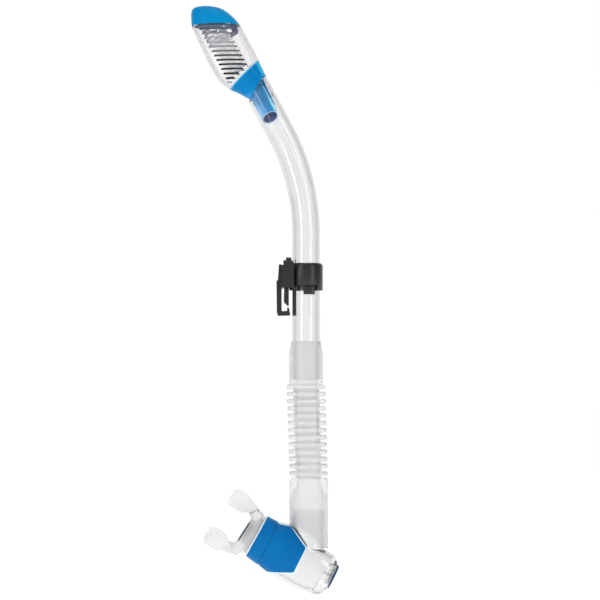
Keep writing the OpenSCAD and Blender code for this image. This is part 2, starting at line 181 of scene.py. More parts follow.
NECK = [
    [(-52.2, -20.6), (-52.2, 17.0), 9.6],
    [(-51.2, -20.4), (-51.2, 17.2), 11.6],
    [(-49.2, -19.4), (-49.2, 16.6), 12.0],
    [(-46, -17.6), (-46, 15.6), 12],
    [(-41, -15.4), (-41, 15.2), 12.2],
    [(-37, -15.4), (-37, 15.4), 12.4],
]
NECK_HOLE = [
    [(-56, -12.4), (-56, 8.8), 6.4],
    [(-51.5, -11.2), (-51.5, 7.6), 5.6],
    [(-46.6, -12.0), (-46.6, 11.6), 9.0],
]
# Bite tab: [place along the mouth axis, middle, half width, half thickness]
TAB = [
    (-46.0, 11.6, 6.8, 8.0), (-49.5, 12.7, 6.6, 7.4), (-52.0, 14.4, 5.6, 6.0), (-54.0, 16.2, 4.6, 4.6),
    (-56.2, 17.1, 4.2, 3.0), (-58.5, 17.0, 5.2, 2.1), (-61.5, 17.0, 6.9, 1.8), (-65.0, 17.1, 7.5, 1.7),
    (-69.0, 17.1, 7.6, 1.8), (-71.8, 17.1, 7.2, 2.4), (-73.6, 17.1, 6.2, 3.4), (-74.5, 17.0, 4.6, 3.0),
    (-74.85, 17.0, 2.6, 1.4),
]

# The oval tube that the mouthpiece fits over, its bore, and the room the mouthpiece leaves for it
INLET = [[(-46, -12.6), (-46, 12.6), 9.8], [(-34, -13.4), (-34, 13.4), 10.8]]
INLET_BORE = [[(-48, -12.5), (-48, 12.5), 9.7], [(-33, -13.4), (-33, 13.4), 10.8]]
INLET_ROOM = [[(-47, -12.7), (-47, 12.7), 9.9], [(-34, -13.5), (-34, 13.5), 10.9]]


# ---- Mesh tools ----

def ring(row, grow=0, n=96, power=0.86):
    """A superellipse between two points of the X-Z plane."""
    low, high = Vector(row[0]), Vector(row[1])
    direction = (high - low).normalized()
    mid = (low + high) / 2
    span = (high - low).length / 2 + grow
    half = row[2] + grow
    points = []
    for i in range(n):
        t = math.tau * i / n
        c = math.copysign(abs(math.cos(t)) ** power, math.cos(t))
        s = math.copysign(abs(math.sin(t)) ** power, math.sin(t))
        at = mid + direction * span * c
        points.append(Vector((at.x, half * s, at.y)))
    return points


def smooth_rows(rows, steps):
    """Rows between the given ones, on a Catmull-Rom curve."""
    flat = [[*r[0], *r[1], r[2]] for r in rows]
    flat = [[2 * a - b for a, b in zip(flat[0], flat[1])]] + flat
    flat.append([2 * a - b for a, b in zip(flat[-1], flat[-2])])
    out = []
    for k in range(1, len(flat) - 2):
        for j in range(steps):
            t = j / steps
            v = [
                0.5 * (2 * b + (c - a) * t + (2 * a - 5 * b + 4 * c - d) * t * t
                       + (3 * b - a - 3 * c + d) * t ** 3)
                for a, b, c, d in zip(flat[k - 1], flat[k], flat[k + 1], flat[k + 2])
            ]
            out.append([(v[0], v[1]), (v[2], v[3]), v[4]])
    out.append([tuple(rows[-1][0]), tuple(rows[-1][1]), rows[-1][2]])
    return out


def skin(bm, rings, closed=False, fill=()):
    """Joins rings of points into a surface; closed joins the last ring to the first."""
    loops = [[bm.verts.new(p) for p in points] for points in rings]
    n = len(loops[0])
    pairs = list(zip(loops, loops[1:]))
    if closed:
        pairs.append((loops[-1], loops[0]))
    for a, b in pairs:
        for i in range(n):
            j = (i + 1) % n
            bm.faces.new((a[i], a[j], b[j], b[i]))
    if "start" in fill:
        bm.faces.new(loops[0])
    if "end" in fill:
        bm.faces.new(loops[-1])
    return loops


def mark_smooth(bm, sharp):
    """Smooth faces, with edges over an angle in degrees left sharp."""
    limit = math.radians(sharp)
    for f in bm.faces:
        f.smooth = True
    for e in bm.edges:
        e.smooth = not (len(e.link_faces) == 2 and e.calc_face_angle(0) > limit)


def make(name, bm, material, body=None, matrix=None, replaces=(), slot=None):
    """A finished piece from a bmesh in millimetres."""
    bmesh.ops.recalc_face_normals(bm, faces=bm.faces)
    if matrix is not None:
        bm.transform(matrix)
    bm.transform(Matrix.Scale(MM, 4))
    mark_smooth(bm, 40)
    mesh = bpy.data.meshes.new(name)
    bm.to_mesh(mesh)
    bm.free()
    piece = bpy.data.objects.new(name, mesh)
    bpy.context.scene.collection.objects.link(piece)
    mesh.materials.append(material)
    if replaces:
        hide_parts(*replaces)
    if body:
        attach(piece, body)
    return piece


def add_bevel(piece, width):
    """Rounds the sharp edges by a width in millimetres."""
    mod = piece.modifiers.new("edge", "BEVEL")
    mod.width = width * MM
    mod.segments = 2
    mod.limit_method = "ANGLE"
    mod.angle_limit = math.radians(35)
    mod.harden_normals = True


# ---- Materials ----

def new_material(name):
    """A new material, its node tree and its shader."""
    material = bpy.data.materials.new(name)
    material.use_nodes = True
    tree = material.node_tree
    return material, tree, tree.nodes["Principled BSDF"]


def add_grain(tree, shader, scale, strength, rough):
    """Noise that moves the roughness between two values and gives a fine bump."""
    coords = tree.nodes.new("ShaderNodeTexCoord")
    noise = tree.nodes.new("ShaderNodeTexNoise")
    noise.inputs["Scale"].default_value = scale
    noise.inputs["Detail"].default_value = 4.0
    tree.links.new(coords.outputs["Object"], noise.inputs["Vector"])
    spread = tree.nodes.new("ShaderNodeMapRange")
    spread.inputs["To Min"].default_value = rough[0]
    spread.inputs["To Max"].default_value = rough[1]
    tree.links.new(noise.outputs["Fac"], spread.inputs["Value"])
    tree.links.new(spread.outputs["Result"], shader.inputs["Roughness"])
    bump = tree.nodes.new("ShaderNodeBump")
    bump.inputs["Strength"].default_value = strength
    bump.inputs["Distance"].default_value = 0.2 * MM
    tree.links.new(noise.outputs["Fac"], bump.inputs["Height"])
    tree.links.new(bump.outputs["Normal"], shader.inputs["Normal"])
    return coords


def add_tone(tree, shader, coords, low, high, scale):
    """A slow change of colour between two tones."""
    noise = tree.nodes.new("ShaderNodeTexNoise")
    noise.inputs["Scale"].default_value = scale
    noise.inputs["Detail"].default_value = 2.0
    tree.links.new(coords.outputs["Object"], noise.inputs["Vector"])
    colours = tree.nodes.new("ShaderNodeValToRGB")
    colours.color_ramp.elements[0].position = 0.35
    colours.color_ramp.elements[1].position = 0.65
    colours.color_ramp.elements[0].color = (*low, 1)
    colours.color_ramp.elements[1].color = (*high, 1)
    tree.links.new(noise.outputs["Fac"], colours.inputs["Fac"])
    tree.links.new(colours.outputs["Color"], shader.inputs["Base Color"])


def along(tree, coords, direction, start):
    """Millimetres along a direction from a start point, at the shaded point."""
    direction = Vector(direction).normalized()
    dot = tree.nodes.new("ShaderNodeVectorMath")
    dot.operation = "DOT_PRODUCT"
    dot.inputs[1].default_value = direction / MM
    tree.links.new(coords.outputs["Object"], dot.inputs[0])
    shift = tree.nodes.new("ShaderNodeMath")
    shift.operation = "SUBTRACT"
    shift.inputs[1].default_value = direction.dot(Vector(start)) / MM
    tree.links.new(dot.outputs["Value"], shift.inputs[0])
    return shift.outputs[0]


def ramp(tree, value, stops):
    """A colour for a value, from (value, colour) stops."""
    first, last = stops[0][0], stops[-1][0]
    spread = tree.nodes.new("ShaderNodeMapRange")
    spread.inputs["From Min"].default_value = first
    spread.inputs["From Max"].default_value = last
    tree.links.new(value, spread.inputs["Value"])
    colours = tree.nodes.new("ShaderNodeValToRGB")
    points = colours.color_ramp.elements
    for k, (at, colour) in enumerate(stops):
        place = (at - first) / (last - first)
        point = points[k] if k < 2 else points.new(place)
        point.position = place
        point.color = (*colour, 1)
    tree.links.new(spread.outputs["Result"], colours.inputs["Fac"])
    return colours.outputs["Color"]


def blend_colours(tree, kind, factor, a, b):
    """Two colours blended; the factor is a number or a socket."""
    mix = tree.nodes.new("ShaderNodeMix")
    mix.data_type = "RGBA"
    mix.blend_type = kind
    if isinstance(factor, (int, float)):
        mix.inputs[0].default_value = factor
    else:
        tree.links.new(factor, mix.inputs[0])
    tree.links.new(a, mix.inputs[6])
    tree.links.new(b, mix.inputs[7])
    return mix.outputs[2]


def painted_edge_shade(tree, shader, edge, reach):
    """Painted shade: darkens the base colour where the surface turns away, standing in for the dark
    outlines that light bent at the edges gives, as well as the longer way through the plastic.
    """
    facing = tree.nodes.new("ShaderNodeLayerWeight")
    facing.inputs["Blend"].default_value = 0.5
    rim = ramp(tree, facing.outputs["Facing"], [(0.0, (1, 1, 1)), (reach, (1, 1, 1)), (1.0, edge)])
    base = shader.inputs["Base Color"].links[0].from_socket
    tree.links.new(blend_colours(tree, "MULTIPLY", 1.0, base, rim), shader.inputs["Base Color"])


def clear_plastic(name, low, high, rough, ior=1.46, haze=0.0, edge=(0.3, 0.305, 0.31), reach=0.35):
    """Clear plastic between two tones, with painted shade at its edges and some haze."""
    material, tree, shader = new_material(name)
    shader.inputs["Transmission Weight"].default_value = 1.0 - haze
    shader.inputs["IOR"].default_value = ior
    coords = add_grain(tree, shader, 60, 0.02, rough)
    add_tone(tree, shader, coords, low, high, 18)
    painted_edge_shade(tree, shader, edge, reach)
    return material


def silicone(name, low, high, transmission):
    """Milky soft rubber that lets light through."""
    material, tree, shader = new_material(name)
    shader.inputs["Transmission Weight"].default_value = transmission
    shader.inputs["IOR"].default_value = 1.25
    coords = add_grain(tree, shader, 140, 0.06, (0.18, 0.28))
    add_tone(tree, shader, coords, low, high, 25)
    # Painted shade where the rubber turns away at its edges
    painted_edge_shade(tree, shader, (0.78, 0.785, 0.79), 0.75)
    return material


def painted_lip_shadow(material):
    """Paints a near-black shadow line on the lip of the mouth opening between the bite tabs, where the
    opening's inside lies in shade.
    """
    tree = material.node_tree
    shader = tree.nodes["Principled BSDF"]
    coords = tree.nodes.new("ShaderNodeTexCoord")
    start = MOUTH.translation * MM
    out = along(tree, coords, MOUTH.to_3x3() @ Vector((1, 0, 0)), start)
    up = along(tree, coords, MOUTH.to_3x3() @ Vector((0, 0, 1)), start)
    # Painted shadow: a near-black band at the lip, across the opening
    line = ramp(tree, out, [(-53, (0.01, 0.03, 0.05)), (-51.3, (0.01, 0.03, 0.05)), (-50.9, (1, 1, 1))])
    plain = ramp(tree, out, [(-53, (1, 1, 1)), (-51, (1, 1, 1))])
    span = ramp(tree, up, [
        (-11, (0, 0, 0)), (-9, (1, 1, 1)), (5.5, (1, 1, 1)), (7, (0, 0, 0))])
    mask = blend_colours(tree, "MIX", span, plain, line)
    base = shader.inputs["Base Color"].links[0].from_socket
    tree.links.new(blend_colours(tree, "MULTIPLY", 1.0, base, mask), shader.inputs["Base Color"])


def coloured_plastic(name, low, high, rough, grain=500, strength=0.05, coat=0.0, gloss=0.5, glow=0.0):
    """Solid plastic between two tones, with a fine grain."""
    material, tree, shader = new_material(name)
    shader.inputs["Specular IOR Level"].default_value = gloss
    shader.inputs["IOR"].default_value = 1.48
    shader.inputs["Coat Weight"].default_value = coat
    shader.inputs["Coat Roughness"].default_value = 0.12
    shader.inputs["Emission Color"].default_value = (1, 1, 1, 1)
    shader.inputs["Emission Strength"].default_value = glow
    coords = add_grain(tree, shader, grain, strength, rough)
    add_tone(tree, shader, coords, low, high, 30)
    return material


def slit_shade(name):
    """Painted shade on the floor of the slit grooves, standing in for the dark open slits; painted lighter
    in the upper middle rows, and much lighter on the back half.
    """
    material = coloured_plastic(name, (0.03, 0.03, 0.03), (0.06, 0.06, 0.06), (0.35, 0.5), gloss=0.2)
    tree = material.node_tree
    shader = tree.nodes["Principled BSDF"]
    coords = tree.nodes.new("ShaderNodeTexCoord")
    # Painted light and shade by height: dark low rows, lighter upper middle rows
    rows = ramp(tree, along(tree, coords, (0, 0, 1), (0, 0, 0)), [
        (150, (0.03, 0.03, 0.032)), (164, (0.05, 0.05, 0.052)), (169, (0.12, 0.12, 0.125)),
        (176, (0.45, 0.45, 0.46)), (183, (0.5, 0.5, 0.51)), (187, (0.16, 0.16, 0.165)),
        (192, (0.1, 0.1, 0.105))])
    # Painted light: the back half's slit floors are pale, so they show less through the front
    back_painted_light = ramp(tree, along(tree, coords, (0, 1, 0), (0, 0, 0)), [
        (-1, (0, 0, 0)), (1, (0.72, 0.72, 0.73)), (20, (0.72, 0.72, 0.73))])
    tree.links.new(blend_colours(tree, "ADD", 1.0, rows, back_painted_light), shader.inputs["Base Color"])
    return material


def collar_blue_painted_light(name):
    """The collar's blue with painted light: a painted reflection lightens the spigot's left side, a painted
    cyan highlight runs down its right side, painted cyan light lines the funnel's right edge and rim, and
    the spigot has a painted glow.
    """
    material = coloured_plastic(
        name, (0.0003, 0.165, 0.42), (0.0005, 0.19, 0.46), (0.15, 0.25), gloss=0.06)
    tree = material.node_tree
    shader = tree.nodes["Principled BSDF"]
    base = shader.inputs["Base Color"].links[0].from_socket
    coords = tree.nodes.new("ShaderNodeTexCoord")
    start = HEAD.translation * MM
    across = along(tree, coords, HEAD.to_3x3() @ Vector((1, 0, 0)), start)
    up = along(tree, coords, HEAD.to_3x3() @ Vector((0, 0, 1)), start)
    # Upwards from the collar's slanted top edge, where a painted highlight runs along the rim
    rim_at = HEAD @ Vector((-18.8, 0, 46.7)) * MM
    rim = along(tree, coords, HEAD.to_3x3() @ Vector((-0.293, 0, 0.956)), rim_at)
    # Painted light across the spigot: a pale painted reflection on the left, deep blue in the middle, a
    # painted cyan highlight strip near the right
    spigot = ramp(tree, across, [
        (-8.5, (0.4, 0.66, 0.92)), (-5.5, (0.2, 0.5, 0.84)), (-3.2, (0.02, 0.29, 0.66)),
        (-0.5, (0.0, 0.2, 0.52)), (2.4, (0.0, 0.27, 0.6)), (4.2, (0.35, 0.85, 0.95)),
        (5.4, (0.0, 0.3, 0.6))])
    # Painted light: cyan along the funnel's right edge and along its rim
    funnel = ramp(tree, across, [(6.8, (0, 0, 0)), (8.2, (1, 1, 1)), (11, (1, 1, 1))])
    cyan = ramp(tree, across, [(-20, (0.1, 0.5, 0.78)), (12, (0.02, 0.36, 0.66))])
    low = ramp(tree, up, [(21, (1, 1, 1)), (33, (0.12, 0.12, 0.12)), (38, (0, 0, 0))])
    edge = ramp(tree, rim, [(-1.0, (0, 0, 0)), (-0.4, (1, 1, 1))])
    colour = blend_colours(tree, "MIX", funnel, base, cyan)
    colour = blend_colours(tree, "MIX", edge, colour, cyan)
    colour = blend_colours(tree, "MIX", low, colour, spigot)
    tree.links.new(colour, shader.inputs["Base Color"])
    # Painted glow: the spigot gives off its own colour, fading out above it
    tree.links.new(colour, shader.inputs["Emission Color"])
    glow = tree.nodes.new("ShaderNodeMapRange")
    glow.inputs["From Min"].default_value = 34
    glow.inputs["From Max"].default_value = 38
    glow.inputs["To Min"].default_value = 0.36
    glow.inputs["To Max"].default_value = 0.0
    tree.links.new(up, glow.inputs["Value"])
    tree.links.new(glow.outputs["Result"], shader.inputs["Emission Strength"])
    return material


def brushed_metal(name):
    """Bright steel."""
    material, tree, shader = new_material(name)
    shader.inputs["Metallic"].default_value = 1.0
    coords = add_grain(tree, shader, 900, 0.08, (0.22, 0.35))
    add_tone(tree, shader, coords, (0.55, 0.55, 0.57), (0.66, 0.66, 0.67), 200)
    return material


CLEAR = clear_plastic("clear_plastic", (0.89, 0.893, 0.896), (0.92, 0.923, 0.926), (0.01, 0.03))
CAGE_CLEAR = clear_plastic(
    "cage_clear", (0.95, 0.952, 0.955), (0.965, 0.967, 0.97), (0.01, 0.03), ior=1.1, haze=0.05,
    edge=(0.45, 0.455, 0.46))
DUCT_CLEAR = clear_plastic(
    "duct_clear", (0.985, 0.985, 0.985), (0.99, 0.99, 0.99), (0.01, 0.03), ior=1.05, edge=(0.8, 0.8, 0.81))
SEAL_CLEAR = clear_plastic(
    "seal_clear", (0.985, 0.985, 0.985), (0.99, 0.99, 0.99), (0.02, 0.05), ior=1.05)
HOUSING_CLEAR = clear_plastic(
    "housing_clear", (0.86, 0.865, 0.87), (0.9, 0.905, 0.91), (0.02, 0.05), edge=(0.22, 0.23, 0.25),
    reach=0.3)
RIM_CLEAR = coloured_plastic(
    "rim_clear", (0.72, 0.86, 0.94), (0.78, 0.9, 0.96), (0.2, 0.3), gloss=0.3)
# Painted shade for the floors of the slit grooves
SLIT = slit_shade("slit_floor")
SILICONE = silicone("silicone", (0.935, 0.937, 0.939), (0.97, 0.971, 0.972), 0.75)
MOUTH_SILICONE = silicone("mouth_silicone", (0.82, 0.823, 0.826), (0.88, 0.883, 0.886), 0.7)
# Painted shadow along the mouthpiece's lip
painted_lip_shadow(MOUTH_SILICONE)
BLUE = coloured_plastic(
    "blue_plastic", (0.0003, 0.205, 0.48), (0.0005, 0.245, 0.54), (0.3, 0.42), gloss=0.06)
DEEP_BLUE = coloured_plastic(
    "deep_blue_plastic", (0.0003, 0.125, 0.37), (0.0005, 0.15, 0.41), (0.3, 0.42), gloss=0.08)
COLLAR_PAINTED_LIGHT_BLUE = collar_blue_painted_light("collar_blue_painted_light")
# Painted shade: a darker blue for the inside of the spigot's bore
BORE_SHADED_BLUE = coloured_plastic(
    "bore_painted_shade", (0.002, 0.07, 0.32), (0.004, 0.1, 0.4), (0.3, 0.42), gloss=0.06)
# Painted highlight: a pale blue for the spigot's cut end
RIM_HIGHLIGHT_BLUE = coloured_plastic(
    "rim_painted_highlight", (0.5, 0.78, 0.95), (0.55, 0.82, 0.97), (0.3, 0.42), gloss=0.06)
NAVY = coloured_plastic(
    "navy_rubber", (0.001, 0.012, 0.1), (0.002, 0.018, 0.14), (0.35, 0.5), gloss=0.1)
SLATE = coloured_plastic(
    "slate_plastic", (0.012, 0.06, 0.14), (0.02, 0.08, 0.17), (0.25, 0.4), gloss=0.2)
BLACK = coloured_plastic(
    "black_plastic", (0.004, 0.004, 0.004), (0.009, 0.009, 0.009), (0.3, 0.42), grain=900, strength=0.12,
    coat=0.12, gloss=0.42)
GRIP = coloured_plastic(
    "grip_plastic", (0.005, 0.005, 0.005), (0.012, 0.012, 0.012), (0.45, 0.65), grain=1400, strength=0.5)
# Painted glow: the float gives off a little light, making up for the light the clear shell holds back from
# it
FOAM = coloured_plastic("float_foam_painted_glow", (0.9, 0.9, 0.9), (0.94, 0.94, 0.94), (0.6, 0.8), glow=0.18)
STEEL = brushed_metal("steel")


# ---- Head and barrel ----

def barrel_rings(r, depth=0, n=96):
    """The rings of one wall of the barrel, from its lower end round the bend to its slanted end."""
    step, bend_steps, top_steps = 1.5, 40, 12
    angles = [math.tau * i / n for i in range(n)]
    # Two shallow grooves run up the front, where the mould's halves met
    grooves = (n * 3 // 4 - 2, n * 3 // 4 + 10)
    radii = [r - (depth if i in grooves else 0) for i in range(n)]
    circle = [Vector((r * math.cos(a), r * math.sin(a), 0)) for a, r in zip(angles, radii)]
    rows = []
    for k in range(round((BEND_START - BARREL_BOTTOM) / step)):
        up = Vector((0, 0, BARREL_BOTTOM + step * k))
        rows.append([p + up for p in circle])
    for k in range(bend_steps + 1):
        turn = BEND_ANGLE * k / bend_steps
        at = Matrix.Translation((-BEND_RADIUS, 0, BEND_START)) @ Matrix.Rotation(-turn, 4, "Y")
        rows.append([at @ (p + Vector((BEND_RADIUS, 0, 0))) for p in circle])
    for k in range(1, top_steps + 1):
        part = k / top_steps
        rows.append([
            HEAD @ (p + Vector((0, 0, part * (CUT_W + math.tan(CUT_SLOPE) * p.x)))) for p in circle])
    return rows


def barrel():
    """The clear tube: its outside up, its inside down."""
    bm = bmesh.new()
    skin(bm, barrel_rings(BARREL_R, GROOVE_DEPTH) + barrel_rings(BORE_R)[::-1], closed=True)
    make("barrel_tube", bm, CLEAR, "barrel", replaces=["barrel"], slot="clear_plastic")


def shell(name, rows, wall, material, body, roof=False, **words):
    """A thin shell of the head, between a lofted surface and the same surface moved in by its wall."""
    fine = smooth_rows(rows, 6)
    bm = bmesh.new()
    outer = [ring(row, -0.02) for row in fine]
    if roof:
        inner = [ring(row, -wall) for row in fine if row[2] > wall * 2.5]
        up = Vector((-0.35, 0, -wall)) * 0.5
        inner[-1] = [p + up for p in inner[-1]]
        skin(bm, inner[::-1] + outer, fill=("start", "end"))
    else:
        inner = [ring(row, -wall) for row in fine]
        skin(bm, outer + inner[::-1], closed=True)
    return make(name, bm, material, body, HEAD, **words)


def slits(bm):
    """The cutters for the cage's slits, level in the world."""
    lean = math.tan(BEND_ANGLE)
    for k in range(SLIT_COUNT):
        z = SLIT_TOP - SLIT_PITCH * k
        # The left ends follow the cage's wall, and the lowest right ends follow the collar's edge
        left = SLIT_START - z * lean
        right = min(left + SLIT_LENGTH, z - SLIT_FLOOR)
        outline = []
        for x, start in ((left, math.pi / 2), (right, -math.pi / 2)):
            for i in range(9):
                t = start + math.pi * i / 8
                outline.append((x + SLIT_HALF * math.cos(t), z + SLIT_HALF * math.sin(t)))
        skin(bm, [[Vector((x, y, zz)) for x, zz in outline] for y in (-30, 30)], fill=("start", "end"))


def cage():
    """The clear shell of the head, with slit grooves that stop short of its inside and carry painted shade
    on their floors.
    """
    piece = shell(
        "cage_shell", CAGE, HEAD_WALL, CAGE_CLEAR, None, replaces=["float_cage"], slot="clear_plastic")
    bm = bmesh.new()
    slits(bm)
    cutter = make("slit_cutter", bm, SLIT)
    carve(cutter, [(solid(CAGE, -SLIT_DEPTH), HEAD, "DIFFERENCE")])
    piece.data.materials.append(SLIT)
    cut = piece.modifiers.new("slits", "BOOLEAN")
    cut.object = cutter
    cut.operation = "DIFFERENCE"
    cut.solver = "MANIFOLD"
    cut.material_mode = "TRANSFER"
    apply_modifiers(piece)
    bpy.data.objects.remove(cutter)
    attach(piece, "barrel")


def apply_modifiers(piece):
    """Bakes the modifiers into the piece's own mesh."""
    graph = bpy.context.evaluated_depsgraph_get()
    mesh = bpy.data.meshes.new_from_object(piece.evaluated_get(graph))
    piece.modifiers.clear()
    piece.data = mesh


def collar():
    """The funnel between cage and barrel, with the spigot that hangs into the barrel."""
    cone = HEAD @ Matrix.Translation((SPIGOT_X, 0, SPIGOT_END)) @ Matrix.Rotation(SPIGOT_TILT, 4, "Y")
    trim = HEAD @ Matrix.Translation((0, 0, SPIGOT_END)) @ Matrix.Rotation(-SPIGOT_SLANT, 4, "X")
    length = SPIGOT_TOP - SPIGOT_END
    taper = (SPIGOT_TOP_R - SPIGOT_END_R) / length
    bore_r = SPIGOT_END_R - SPIGOT_WALL
    # How far the cone and its bore run on past the spigot's two ends
    below, bore_below, above = 4, 5, 8
    outside = rod(
        Vector((0, 0, -below)), Vector((0, 0, length)), SPIGOT_END_R - below * taper, SPIGOT_TOP_R)
    bore = rod(
        Vector((0, 0, -bore_below)), Vector((0, 0, length + above)),
        bore_r - bore_below * taper, bore_r + (length + above) * taper)
    piece = make("collar_funnel", solid(COLLAR), COLLAR_PAINTED_LIGHT_BLUE, None, HEAD, replaces=["head_collar"],
                 slot="blue_plastic")
    carve(piece, [
        (solid(FUNNEL_INSIDE, -FUNNEL_WALL), HEAD, "DIFFERENCE"),
        (outside, cone, "UNION"),
        # The bore gets painted shade and the cut end a painted highlight
        (bore, cone, "DIFFERENCE", BORE_SHADED_BLUE),
        (rod(Vector((0, 0, -40)), Vector((0, 0, 0)), 25), trim, "DIFFERENCE", RIM_HIGHLIGHT_BLUE),
    ])
    add_bevel(piece, 0.25)
    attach(piece, "barrel")


def cap():
    """The blue dome over the cage."""
    shell("cap_dome", CAP, HEAD_WALL, BLUE, "barrel", roof=True, replaces=["head_cap"], slot="blue_plastic")


# ---- Hose ----

def lathe(bm, profile, place, n=96):
    """A closed profile of (radius, height) turned about an axis that place() positions."""
    rings = []
    for r, z in profile:
        centre = place(z)
        rings.append([
            centre + Vector((r * math.cos(math.tau * i / n), r * math.sin(math.tau * i / n), 0))
            for i in range(n)])
    skin(bm, rings, closed=True)


def hose_centre(z):
    """The centre of the hose at a height: it leans to the spigot along the fins."""
    t = min(1, max(0, (FINS_TOP - z) / (FINS_TOP - FINS_BOTTOM)))
    return Vector((HOSE_X * t, 0, z))


def hose():
    """The silicone hose: an upper sleeve, fins and a lower sleeve, leaning along the fins from the barrel
    to the mouth unit's spigot.
    """
    pitch = (FINS_TOP - FINS_BOTTOM) / FIN_COUNT
    land = pitch * 0.6
    profile = [(10.55, -49.2), (11.0, -49.05), (11.35, -49.6), (12.3, -55.6), (12.62, -57.4)]
    profile += [(UPPER_SLEEVE_R, z) for z in range(-59, -81, -2)]
    for k in range(FIN_COUNT):
        top = FINS_TOP - k * pitch
        start = (CORE_R, top + 0.35) if k else (UPPER_SLEEVE_R, top + 0.6)
        profile += [
            start, (start[0] + 0.5, top),
            (FIN_R - 0.9, top), (FIN_R - 0.25, top - 0.25), (FIN_R, top - 0.9),
            (FIN_R, top - land + 0.9), (FIN_R - 0.25, top - land + 0.25), (FIN_R - 0.9, top - land),
            (CORE_R + 0.5, top - land), (CORE_R, top - land - 0.35), (CORE_R, top - pitch + 0.8)]
    profile += [
        (CORE_R, FINS_BOTTOM + 0.4), (CORE_R + 0.6, FINS_BOTTOM),
        (LOWER_SLEEVE_R - 0.6, FINS_BOTTOM), (LOWER_SLEEVE_R, FINS_BOTTOM - 0.6)]
    profile += [(LOWER_SLEEVE_R, z) for z in range(-156, -216, -3)]
    inside = [(LOWER_BORE_R, z) for z in range(-213, -170, 3)]
    inside += [(LOWER_BORE_R, -170), (HOSE_BORE_R, -158)]
    inside += [(HOSE_BORE_R, z) for z in range(-156, -79, 3)]
    inside += [(HOSE_BORE_R, -78.2), (BARREL_R + 0.03, BARREL_BOTTOM), (BARREL_R + 0.03, -60)]
    bm = bmesh.new()
    lathe(bm, profile + inside, hose_centre)
    bmesh.ops.recalc_face_normals(bm, faces=bm.faces)
    cut = bmesh.ops.bisect_plane(
        bm, geom=bm.verts[:] + bm.edges[:] + bm.faces[:], plane_co=MOUTH @ Vector((0, 0, SLEEVE_END)),
        plane_no=MOUTH.to_3x3() @ Vector((0, 0, 1)), clear_inner=True)
    rim = [e for e in cut["geom_cut"] if isinstance(e, bmesh.types.BMEdge)]
    bmesh.ops.bridge_loops(bm, edges=rim)
    piece = make("hose_silicone", bm, SILICONE, replaces=["hose"], slot="silicone")
    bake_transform(piece)


# ---- Mouth unit ----

def solid(rows, grow=0, steps=4, n=96):
    """A closed loft as a new bmesh."""
    bm = bmesh.new()
    skin(bm, [ring(row, grow, n) for row in smooth_rows(rows, steps)], fill=("start", "end"))
    return bm


def rod(start, end, r, r_end=None, n=96):
    """A closed cylinder or cone between two points, as a new bmesh."""
    axis = (end - start).normalized()
    side = axis.orthogonal().normalized()
    up = axis.cross(side)
    angles = [math.tau * i / n for i in range(n)]
    bm = bmesh.new()
    rings = [
        [at + side * (k * math.cos(a)) + up * (k * math.sin(a)) for a in angles]
        for at, k in ((start, r), (end, r_end or r))]
    skin(bm, rings, fill=("start", "end"))
    return bm


def upright(z_from, z_to, r):
    """A cylinder on the axis of the hose's lower end, as a new bmesh."""
    return rod(Vector((HOSE_X, 0, z_from)), Vector((HOSE_X, 0, z_to)), r)


def carve(piece, tools):
    """Applies (bmesh, matrix, operation[, material]) tools one after another."""
    for k, (bm, matrix, operation, *own) in enumerate(tools):
        material = own[0] if own else piece.data.materials[0]
        tool = make(f"tool_{k}", bm, material, None, matrix)
        if own:
            piece.data.materials.append(material)
        mod = piece.modifiers.new("cut", "BOOLEAN")
        mod.object = tool
        mod.operation = operation
        mod.solver = "MANIFOLD"
        mod.material_mode = "TRANSFER"
        apply_modifiers(piece)
        bpy.data.objects.remove(tool)
    shade(piece, 30)


def shade(piece, sharp):
    """Marks a finished piece's edges again."""
    bm = bmesh.new()
    bm.from_mesh(piece.data)
    mark_smooth(bm, sharp)
    bm.to_mesh(piece.data)
    bm.free()


def housing():
    """The clear purge housing, with the tube for the mouthpiece and the spigot in the hose."""
    body = [HOUSING_FOOT] + HOUSING
    piece = make("housing_shell", solid(body, -0.05), HOUSING_CLEAR, None, MOUTH,
                 replaces=["purge_housing"], slot="clear_plastic")
    carve(piece, [
        (solid(INLET, n=64), MOUTH, "UNION"),
        (upright(-212, -177, HOSE_SPIGOT_R), None, "UNION"),
        (solid(body[:6], -HOUSING_WALL), MOUTH, "DIFFERENCE"),
        (solid(INLET_BORE, -1.6, n=64), MOUTH, "DIFFERENCE"),
        (upright(-214, -150, HOSE_SPIGOT_BORE_R), None, "DIFFERENCE"),
        (rod(Vector((0, 0, -6)), Vector((0, 0, 20)), PORT_R), PURGE, "DIFFERENCE"),
        (rod(Vector((0, 0, 0)), Vector((0, 0, 20)), PURGE_R), PURGE, "DIFFERENCE"),
    ])
    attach(piece, "mouth_unit")


def inset(outline, gap):
    """An outline moved in by a gap, corner by corner; its corners run clockwise."""
    out = []
    for k, here in enumerate(outline):
        before, after = Vector(outline[k - 1]), Vector(outline[(k + 1) % len(outline)])
        here = Vector(here)
        one, two = (here - before).normalized(), (after - here).normalized()
        normals = Vector((one.y, -one.x)), Vector((two.y, -two.x))
        middle = (normals[0] + normals[1]).normalized()
        out.append(tuple(here + middle * gap / max(0.3, middle.dot(normals[0]))))
    return out


def slab(outline, y_from, y_to):
    """An X-Z outline as a closed block, as a new bmesh."""
    bm = bmesh.new()
    skin(bm, [[Vector((x, y, z)) for x, z in outline] for y in (y_from, y_to)], fill=("start", "end"))
    return bm


